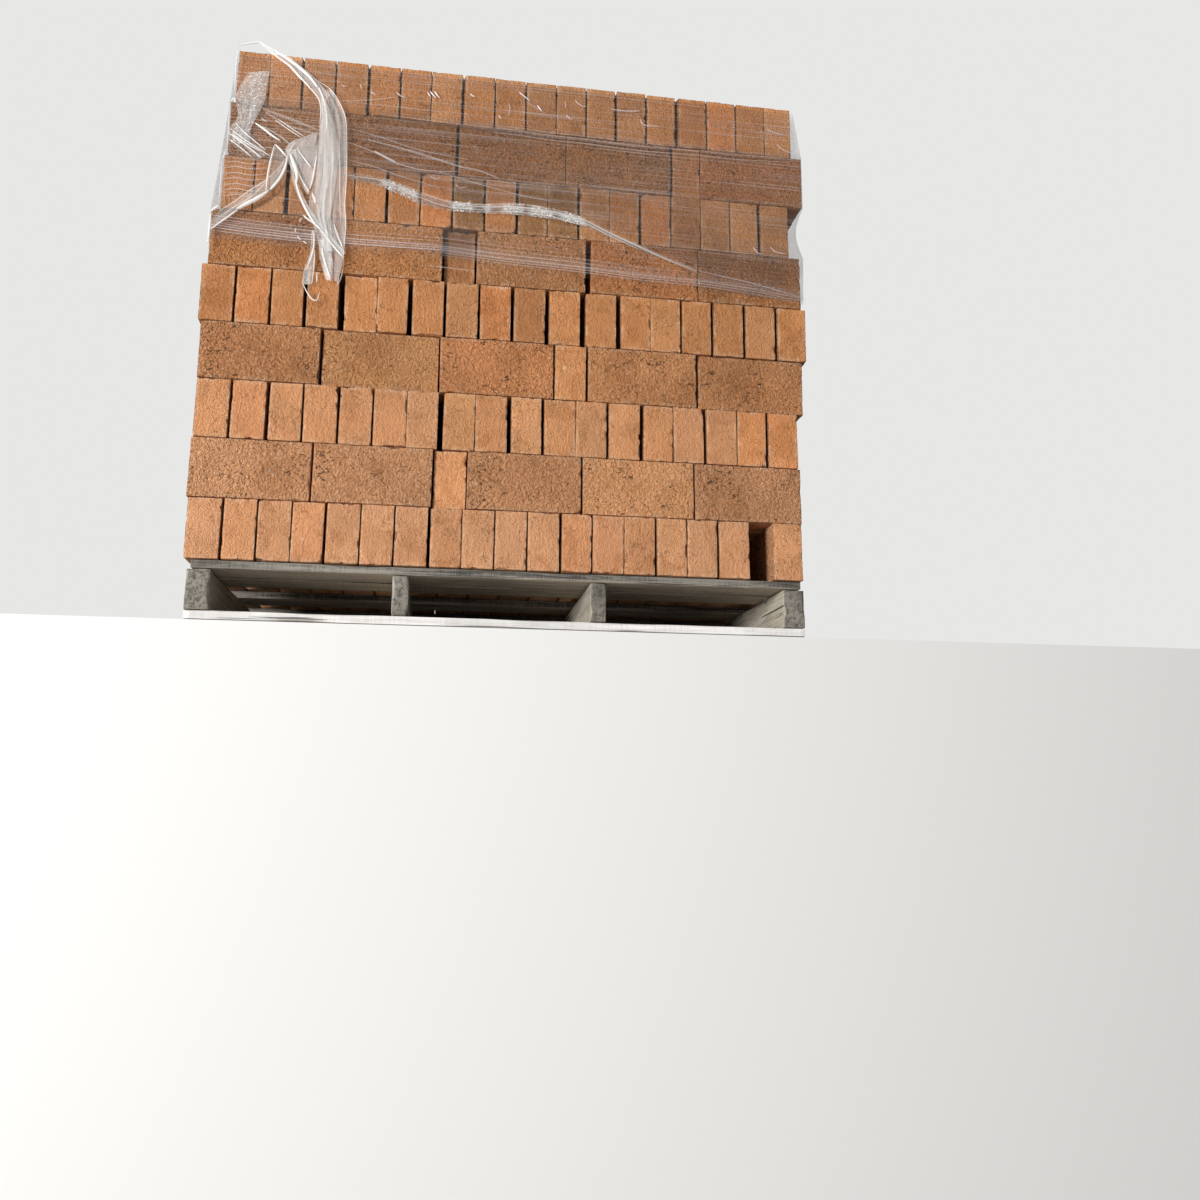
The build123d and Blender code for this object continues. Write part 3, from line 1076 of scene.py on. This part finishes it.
wrap_creases += [
    (1.2, 0.95, [(430, 91), (436, 98)]), (1.2, 0.95, [(434, 91), (440, 98)]),
    (1.1, 0.85, [(427, 92), (431, 97)]), (1.2, 0.95, [(470, 94), (475, 97)]),
    (1.2, 0.55, [(498, 115), (502, 119)]), (1.6, 0.24, [(509, 103), (510, 110), (508, 117)]),
    (1.6, 0.75, [(519, 92), (524, 96), (530, 101)]), (1.2, 0.95, [(537, 105), (542, 111)]),
    (1.2, 0.3, [(528, 103), (545, 113)]), (1.2, 0.4, [(565, 101), (566, 108)]),
    (1.2, 0.55, [(566, 115), (572, 120)]), (1.4, 0.4, [(575, 100), (580, 105), (587, 107)]),
    (1.6, 0.5, [(611, 109), (625, 111), (641, 111)]), (1.4, 0.45, [(640, 119), (643, 124), (650, 127)]),
    (1.4, 0.34, [(648, 125), (660, 127)]), (1.4, 0.4, [(766, 129), (775, 133), (784, 135)]),
    (1.4, 0.4, [(777, 145), (785, 151), (792, 153)]), (1.6, 0.4, [(753, 247), (758, 253), (763, 254)]),
    (1.5, 0.4, [(770, 247), (776, 252), (786, 254)]), (1.5, 0.5, [(396, 92), (401, 96), (406, 98)]),
    (1.4, 0.5, [(371, 92), (376, 95)]), (1.3, 0.45, [(360, 84), (362, 89)]),
    (1.4, 0.45, [(341, 85), (347, 87)]), (1.0, 0.3, [(341, 101), (370, 100), (398, 97)]),
]

bm = bmesh.new()
front_columns = round((wrap_high.x - wrap_low.x) / film_row)
add_film(bm, 4 * front_columns, round(wrap_height / film_row), (wrap_round, wrap_height), place_wrap,
         paint_wrap)
bmesh.ops.remove_doubles(bm, verts=bm.verts, dist=1e-5)
bmesh.ops.recalc_face_normals(bm, faces=bm.faces)
add_creases(bm, wrap_creases, wrap_crease_proud)
film_wrap = finish_piece("film_round_load", bm, wrap_film, "stretch_film", "film_wrap")


def pleated(left_rail, right_rail, proud, depth, pleats, key):
    """A placing of film gathered between two rails of pixels, its pleats standing proud."""
    left = [on_front(pixel, proud) for pixel in left_rail]
    right = [on_front(pixel, proud) for pixel in right_rail]

    def place(across, along):
        here = follow(left, along).lerp(follow(right, along), across)
        wander = noise.noise(Vector((along * 3.1, key, across)))
        wave = 1 - 2 * abs(noise.noise(Vector((across * pleats + wander, along * 1.7, key + 9))))
        crumple = noise.noise(Vector((across * 9, along * 22, key + 5)))
        here.y -= depth * (0.75 * wave + 0.4 * crumple + 0.15)
        return here
    return place


# Rails of the torn end's sheets, in pixels from top to bottom or from right to left
rope_upper = [(239, 45), (258, 42), (266, 46), (278, 52), (290, 58), (300, 66), (311, 75), (319, 83),
              (330, 96)]
rope_lower = [(240, 48), (258, 45), (266, 49), (275, 56), (286, 63), (296, 73), (306, 84), (317, 96),
              (321, 108)]
veil_left = [(322, 92), (321, 110), (319, 130), (318, 150), (316, 170), (312, 190), (309, 206), (314, 228),
             (320, 250), (325, 272)]
veil_right = [(330, 90), (340, 105), (346, 120), (347, 150), (347, 183), (345, 205), (346, 222), (345, 240),
              (343, 262), (338, 284)]
column_left = [(320, 100), (320, 125), (319, 150), (317, 172), (315, 195), (317, 215), (321, 235),
               (325, 252)]
column_right = [(326, 100), (334, 125), (339, 150), (337, 172), (334, 195), (331, 215), (332, 235),
                (335, 252)]
web_left = [(318, 132), (302, 138), (288, 145), (286, 157), (292, 170)]
web_right = [(318, 134), (318, 150), (316, 166), (312, 182), (308, 196)]
patch_left = [(249, 73), (240, 87), (236, 100), (238, 117), (230, 129), (229, 142)]
patch_right = [(270, 72), (267, 87), (265, 101), (257, 118), (251, 130), (250, 146)]
fan_left = [(229, 132), (233, 146), (244, 154), (256, 161)]
fan_right = [(248, 130), (256, 140), (262, 147), (268, 155)]
band_upper = [(287, 156), (278, 168), (267, 179), (255, 187), (243, 196), (229, 205), (219, 212),
              (210, 222)]
band_lower = [(289, 158), (285, 168), (280, 178), (273, 188), (262, 197), (245, 206), (228, 218),
              (211, 230)]
strand_left = [(286, 150), (290, 165), (292, 180), (297, 195), (304, 209), (313, 223), (323, 235),
               (341, 256)]
strand_right = [(296, 150), (298, 166), (298, 180), (302, 193), (309, 207), (318, 220), (329, 233),
                (346, 254)]
leg_left = [(311, 231), (311, 245), (308, 257), (304, 271), (302, 285)]
leg_right = [(315, 231), (315, 245), (315, 257), (314, 271), (313, 285)]
foot_left = [(319, 240), (319, 252), (321, 264), (326, 280)]
foot_right = [(329, 240), (331, 252), (333, 264), (333, 282)]
panel_left = [(275, 144), (271, 159), (268, 174), (266, 193)]
panel_right = [(276, 145), (284, 156), (281, 170), (271, 189)]

# The torn end's sheets: their rails, how far they stand proud, how deep and how many their pleats
# are, their veil, painted highlight streaks, crinkle glints and milk with painted gleam, how far these fade
# at the sides, and their cells
torn_sheets = [
    (rope_lower, rope_upper, 0.005, 0.003, 3, (0.1, 0.8, 0.45, 0.34), 0.0, (8, 60)),
    (veil_left, veil_right, 0.004, 0.005, 4, (0.05, 0.3, 0.12, 0.27), 0.0, (22, 110)),
    (column_left, column_right, 0.008, 0.004, 3, (0.05, 0.45, 0.55, 0.46), 0.5, (12, 80)),
    (web_left, web_right, 0.003, 0.004, 2, (0.05, 0.3, 0.1, 0.36), 0.0, (14, 30)),
    (patch_left, patch_right, 0.002, 0.004, 4, (0.12, 0.1, 1.0, 0.3), 0.35, (14, 40)),
    (fan_left, fan_right, 0.002, 0.002, 4, (0.08, 0.9, 0.3, 0.0), 0.2, (12, 20)),
    (band_lower, band_upper, 0.004, 0.003, 2, (0.05, 0.4, 0.15, 0.24), 0.0, (8, 60)),
    (strand_left, strand_right, 0.006, 0.003, 2, (0.05, 0.85, 0.45, 0.4), 0.3, (6, 60)),
    (leg_left, leg_right, 0.004, 0.004, 3, (0.05, 0.65, 0.8, 0.34), 0.3, (6, 30)),
    (foot_left, foot_right, 0.006, 0.004, 3, (0.05, 0.8, 0.8, 0.4), 0.2, (6, 24)),
    (panel_left, panel_right, 0.004, 0.002, 1, (0.05, 0.35, 0.2, 0.14), 0.0, (6, 24)),
]

# Creases of the torn end, as pixels wide, whiteness and pixels of their line. Their whiteness is milky film
# with painted highlight.
torn_creases = [
    (1.6, 0.85, rope_upper[:4]), (3.4, 0.95, [(275, 51), (288, 59), (299, 67), (310, 77), (318, 88)]),
    (2.6, 0.9, [(270, 51), (279, 58), (290, 66), (300, 77), (310, 87)]),
    (1.8, 0.8, [(302, 80), (312, 90), (319, 99), (321, 110), (320, 124)]),
    (2.4, 0.85, [(312, 79), (320, 90), (325, 104), (327, 118), (326, 134)]),
    (1.3, 0.7, [(318, 81), (330, 89), (337, 98), (343, 110), (346, 120), (347, 134)]),
    (1.3, 0.55, [(347, 130), (347, 160), (346, 190), (345, 205), (346, 225), (344, 250), (343, 270)]),
    (1.2, 0.5, [(343, 268), (341, 278), (337, 286)]), (1.0, 0.5, [(265, 59), (269, 55), (274, 55)]),
    (2.4, 0.95, [(255, 123), (264, 129), (273, 136), (281, 141)]),
    (1.1, 0.85, [(275, 120), (288, 129), (302, 138)]), (1.1, 0.75, [(278, 119), (291, 128), (305, 137)]),
    (1.4, 0.5, [(261, 118), (267, 122)]), (3.5, 0.22, [(263, 109), (290, 119), (318, 130)]),
    (2.6, 0.2, [(265, 112), (290, 126), (316, 134)]), (2.0, 0.3, [(262, 126), (280, 136), (290, 144)]),
    (2.0, 0.95, [(275, 144), (271, 159), (268, 174), (266, 192)]),
    (2.0, 0.95, [(275, 144), (281, 150), (287, 157)]), (1.2, 0.6, [(297, 141), (292, 147), (288, 156)]),
    (3.2, 0.95, [(288, 155), (285, 168), (280, 178), (272, 188), (264, 195)]),
    (4.6, 0.95, [(270, 190), (258, 198), (246, 204), (236, 210)]),
    (2.0, 0.9, [(242, 206), (229, 216), (219, 223), (210, 230)]),
    (1.2, 0.6, [(276, 170), (266, 180), (250, 190), (232, 203), (218, 211)]),
    (1.2, 0.5, [(272, 176), (252, 196), (234, 207), (214, 221)]),
    (4.0, 0.9, [(290, 154), (294, 163), (297, 173), (297, 184)]),
    (2.6, 0.9, [(295, 178), (299, 193), (305, 207), (313, 221), (322, 231)]),
    (2.2, 0.8, [(318, 226), (328, 239), (336, 249), (344, 258)]),
    (1.3, 0.8, [(298, 171), (303, 182), (310, 193)]), (1.3, 0.8, [(297, 148), (304, 158), (312, 168)]),
    (2.2, 0.8, [(303, 215), (309, 220), (316, 225)]),
    (2.0, 0.9, [(317, 155), (315, 167), (313, 179), (310, 190)]),
    (3.4, 0.7, [(312, 193), (315, 199), (316, 204)]), (1.6, 0.7, [(302, 217), (299, 223)]),
    (1.6, 0.7, [(296, 228), (295, 233)]), (1.6, 0.75, [(297, 236), (301, 240)]),
    (1.6, 0.75, [(303, 241), (307, 244)]), (1.6, 0.75, [(314, 232), (314, 246), (311, 258), (306, 270)]),
    (1.6, 0.6, [(315, 250), (314, 268), (312, 284)]),
    (1.6, 0.8, [(303, 284), (307, 292), (312, 299), (317, 300), (320, 292)]),
    (2.4, 0.8, [(322, 247), (324, 258), (327, 268), (331, 279)]), (1.8, 0.7, [(317, 272), (317, 283)]),
    (2.2, 0.7, [(334, 224), (338, 236), (343, 248)]),
    (1.8, 0.5, [(324, 130), (325, 160), (322, 190), (320, 215)]),
    (1.6, 0.5, [(331, 130), (333, 160), (331, 190), (330, 220)]),
    (1.3, 0.45, [(339, 140), (340, 170), (340, 200), (341, 224)]),
    (1.3, 0.75, [(238, 48), (236, 70), (235, 92)]), (2.6, 0.8, [(231, 103), (234, 98), (236, 103)]),
    (1.2, 0.6, [(230, 104), (229, 120), (227, 150)]), (2.0, 0.6, [(227, 148), (224, 156), (222, 157)]),
    (1.3, 0.55, [(222, 158), (221, 176), (219, 203)]), (3.0, 0.85, [(211, 212), (215, 208), (220, 205)]),
    (2.0, 0.75, [(211, 213), (210, 222), (209, 232), (208, 243)]),
    (1.5, 0.85, [(229, 133), (240, 141), (252, 150), (262, 158)]),
    (1.3, 0.8, [(230, 128), (244, 139), (258, 148), (270, 156)]),
    (1.3, 0.75, [(229, 139), (240, 147), (252, 157)]), (1.3, 0.7, [(236, 124), (250, 137), (266, 150)]),
    (1.6, 0.7, [(232, 134), (246, 143), (262, 152)]),
]

bm = bmesh.new()
for key, (left, right, proud, depth, pleats, looks, fade, cells) in enumerate(torn_sheets, start=1):
    add_film(bm, *cells, torn_sheet_size, pleated(left, right, proud, depth, pleats, key),
             even_paint(*looks, fade))
add_creases(bm, torn_creases, torn_crease_proud)
torn_end = finish_piece("film_torn_end", bm, loose_film, "stretch_film", "film_tail")

fold_lower_line = [(345, 180), (380, 187), (404, 197), (424, 206), (450, 211), (486, 214), (515, 215),
                   (553, 220), (584, 227), (610, 238), (640, 250), (668, 261), (697, 272)]
# Creases of the fold; their whiteness is milky film with painted highlight.
fold_creases = runs(fold_upper_line, (1.4, 0.40, 0, 4, 3), (1.2, 0.40, 2, 6, 6), (1.8, 0.50, 4, 9, 3),
                    (1.2, 0.45, 5, 9, 8), (1.3, 0.35, 3, 7, 1), (1.7, 0.42, 7, None, 2),
                    (1.2, 0.45, 6, 11, 5))
# Stretches of the fold, from and to which pixel across, that carry painted glints.
bright_stretches = ((382, 396), (398, 416), (452, 472), (484, 490), (502, 522), (530, 552), (562, 584))


def paint_fold(across, along, place):
    """The fold is crumpled, with painted glints and gleam where it is bright, and a pale line at its right.
    """
    right_part = eased(0.55, 0.8, along)
    pixel_x = follow([Vector((x, 0, 0)) for x, y in fold_upper_line], along).x
    bright = max(eased(start - 4, start + 3, pixel_x) * eased(end + 4, end - 3, pixel_x)
                 for start, end in bright_stretches)
    middle = 1 - abs(2 * across - 1)
    return (0.34 * middle ** 0.5, 0.30 + 0.5 * bright, 0.28 + 0.72 * bright,
            (0.08 + 0.34 * bright + 0.16 * right_part) * middle)


bm = bmesh.new()
fold_place = pleated(fold_lower_line, fold_upper_line, 0.0015, 0.003, 2, 11)
add_film(bm, *fold_cells, fold_size, fold_place, paint_fold)
add_creases(bm, fold_creases, fold_crease_proud)
rolled_fold = finish_piece("film_rolled_fold", bm, loose_film, "stretch_film", "film_fold")


# Stage, light and camera

def make_stage(name, low, high):
    """A plain pale block that isn't part of the load."""
    bm = bmesh.new()
    bmesh.ops.create_cube(bm, size=1)
    bmesh.ops.scale(bm, vec=high - low, verts=bm.verts)
    bmesh.ops.translate(bm, vec=(low + high) / 2, verts=bm.verts)
    material, tree, shader = new_material(name)
    seen = add_node(tree, "ShaderNodeLightPath").outputs["Is Camera Ray"]
    colour = blend(tree, seen, scaled(stage_colour, thrown_back_share), stage_colour)
    set_inputs(tree, shader, {"Base Color": colour, "Roughness": 0.95})
    block = make_object(name, bm, material)


plinth_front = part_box("bottom_board_front")[0].y + plinth_setback
make_stage("raised_floor", Vector((-stage_reach, plinth_front, -stage_drop)),
           Vector((stage_reach, stage_reach, 0)))
make_stage("lower_floor", Vector((-stage_reach, -stage_reach, -stage_drop - stage_thickness)),
           Vector((stage_reach, plinth_front, -stage_drop)))


def add_softbox():
    """A large soft lamp turned to what it lights."""
    lamp = bpy.data.lights.new("front_softbox", "AREA")
    lamp.shape = "RECTANGLE"
    lamp.size = softbox_side
    lamp.size_y = softbox_side
    lamp.energy = softbox_power
    softbox = bpy.data.objects.new("front_softbox", lamp)
    bpy.context.scene.collection.objects.link(softbox)
    softbox.location = softbox_place
    softbox.rotation_mode = "QUATERNION"
    softbox.rotation_quaternion = (softbox_aim - softbox_place).to_track_quat("-Z", "Y")
    softbox.visible_camera = False


def light_world():
    """Pale surroundings for the camera and for reflections, and a plain soft light for the rest."""
    world = bpy.data.worlds.new("pale_surroundings")
    bpy.context.scene.world = world
    world.use_nodes = True
    tree = world.node_tree
    tree.nodes.clear()
    rays = add_node(tree, "ShaderNodeLightPath").outputs
    seen = math_node(tree, "MAXIMUM", rays["Is Camera Ray"], rays["Is Glossy Ray"])
    seen = math_node(tree, "MAXIMUM", seen, rays["Is Transmission Ray"])
    ambient = add_node(tree, "ShaderNodeBackground", {"Color": (1, 1, 1, 1), "Strength": ambient_strength})
    pale = add_node(tree, "ShaderNodeBackground", {"Color": surroundings, "Strength": 1.0})
    mixed = add_node(tree, "ShaderNodeMixShader", {0: seen, 1: ambient.outputs[0], 2: pale.outputs[0]})
    add_node(tree, "ShaderNodeOutputWorld", {"Surface": mixed.outputs[0]})


def set_camera():
    """The camera where the photograph was taken from."""
    lens = bpy.data.cameras.new("camera")
    lens.lens = camera_lens
    lens.sensor_width = sensor_width
    lens.clip_start = 0.05
    lens.clip_end = 60
    camera = bpy.data.objects.new("camera", lens)
    bpy.context.scene.collection.objects.link(camera)
    turned = Matrix(camera_axes()).transposed().to_4x4()
    camera.matrix_world = Matrix.Translation(camera_place) @ turned
    bpy.context.scene.camera = camera


add_softbox()
light_world()
set_camera()
bpy.context.scene.view_settings.view_transform = "Standard"
